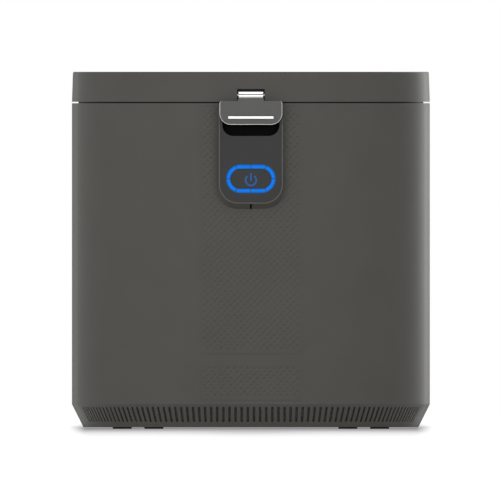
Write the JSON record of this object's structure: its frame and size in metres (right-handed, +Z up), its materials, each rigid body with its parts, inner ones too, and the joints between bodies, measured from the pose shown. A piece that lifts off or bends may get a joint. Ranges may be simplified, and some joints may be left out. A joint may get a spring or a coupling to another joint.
{
  "type": "electric food waste composter",
  "caption": "Rounded countertop food waste composter with a hinged lid, front latch, lit power key, geared agitator bucket and a rear filter drawer.",
  "frame": {"origin": "middle of the overall box in plan, on the surface the feet stand on", "axes": "+Z up, +X to the right seen from the front, -Y towards the front with the latch and key, +Y to the rear"},
  "size_m": [0.358, 0.302, 0.357],
  "materials": {
    "housing_grey": "satin",
    "face_dark": "satin",
    "light_blue": "smooth",
    "symbol_blue": "smooth",
    "latch_grey": "satin",
    "chrome": "polished",
    "steel": "satin",
    "gear_steel": "machined",
    "black_plastic": "fine grain",
    "rubber": "matte",
    "silicone": "matte",
    "well_metal": "satin",
    "bucket_coating": "satin",
    "cast_metal": "satin",
    "bronze": "satin",
    "gearbox_metal": "cast",
    "motor_case": "satin",
    "insulation": "felt",
    "carbon": "granular",
    "circuit_board": "satin",
    "contact_pins": "satin",
    "magnet": "satin"
  },
  "bodies": {
    "housing": {"base_pan": "black_plastic", "vent_skirt": "housing_grey", "rubber_feet": "rubber", "base_screws": "steel", "corner_posts": "black_plastic", "outer_shell": "housing_grey", "top_deck": "black_plastic", "hinge_pins": "steel", "lid_switch": "black_plastic", "well_liner": "well_metal", "heater_band": "steel", "insulation_wrap": "insulation", "vent_duct": "black_plastic", "thermostat": "black_plastic", "bucket_body": "bucket_coating", "bucket_bush": "bronze", "shear_bars": "cast_metal", "bail_ears": "steel", "gearbox_housing": "gearbox_metal", "gearbox_cover": "gearbox_metal", "output_bearing": "bronze", "gearbox_screws": "steel", "drive_motor": "motor_case", "latch_catch": "steel", "control_pod": "housing_grey", "pod_face": "face_dark", "light_segments": "light_blue", "control_board": "circuit_board", "pod_screws": "steel", "filter_bay": "black_plastic", "fan_housing": "black_plastic", "fan_duct": "black_plastic", "rear_grille": "black_plastic", "power_board": "circuit_board", "board_components": "black_plastic", "mains_inlet": "black_plastic", "inlet_pins": "contact_pins"},
    "lid": {"lid_cover": "housing_grey", "lid_liner": "black_plastic", "lid_seal": "silicone", "heat_shield": "well_metal", "lid_magnet": "magnet", "latch_bracket": "black_plastic", "latch_pin": "steel", "latch_spring": "steel"},
    "latch": {"latch_lever": "latch_grey", "latch_knuckle": "chrome"},
    "power_key": {"power_key": "face_dark", "power_symbol": "symbol_blue"},
    "agitator_drive": {"output_gear": "gear_steel", "drive_coupling": "cast_metal", "bucket_coupling": "cast_metal", "agitator": "cast_metal"},
    "countershaft": {"countershaft_gears": "gear_steel"},
    "motor_shaft": {"motor_pinion": "gear_steel"},
    "fan": {"fan_impeller": "black_plastic"},
    "filter_drawer": {"filter_case": "black_plastic", "filter_door": "black_plastic", "carbon_fill": "carbon"},
    "bail": {"bucket_bail": "steel"}
  },
  "joints": [
    {"name": "lid_hinge", "type": "hinge", "parent": "housing", "child": "lid", "pos_m": [0, 0.1446, 0.347], "axis": [-1, 0, 0], "range_deg": [0, 95]},
    {"name": "latch_pivot", "type": "hinge", "parent": "lid", "child": "latch", "pos_m": [0, -0.13245, 0.3336], "axis": [-1, 0, 0], "range_deg": [0, 45], "stiffness_Nm_per_rad": 0.12, "springref_deg": -14.32, "deforming": ["latch_catch"]},
    {"name": "power_key_press", "type": "slide", "parent": "housing", "child": "power_key", "axis": [0, 1, 0], "range_m": [0, 0.0008], "stiffness_N_per_m": 500, "springref_m": -0.0006},
    {"name": "agitator_spin", "type": "hinge", "parent": "housing", "child": "agitator_drive", "pos_m": [0, -0.0189, 0.1], "axis": [0, 0, 1], "continuous": true},
    {"name": "countershaft_spin", "type": "hinge", "parent": "housing", "child": "countershaft", "pos_m": [0.05255, -0.0189, 0.07], "axis": [0, 0, 1], "continuous": true},
    {"name": "motor_spin", "type": "hinge", "parent": "housing", "child": "motor_shaft", "pos_m": [0.0901, -0.0189, 0.07], "axis": [0, 0, 1], "continuous": true},
    {"name": "fan_spin", "type": "hinge", "parent": "housing", "child": "fan", "pos_m": [0, 0.135, 0.14], "axis": [0, 1, 0], "continuous": true},
    {"name": "filter_slide", "type": "slide", "parent": "housing", "child": "filter_drawer", "axis": [0, 1, 0], "range_m": [0, 0.04]},
    {"name": "bail_pivot", "type": "hinge", "parent": "housing", "child": "bail", "pos_m": [0, -0.0189, 0.3164], "axis": [-1, 0, 0], "range_deg": [0, 90]}
  ],
  "couplings": [
    {"joint": "countershaft_spin", "follows": "agitator_spin", "ratio": -4},
    {"joint": "motor_spin", "follows": "agitator_spin", "ratio": 16},
    {"joint": "bail_pivot", "follows": "lid_hinge", "ratio": 0.9}
  ]
}
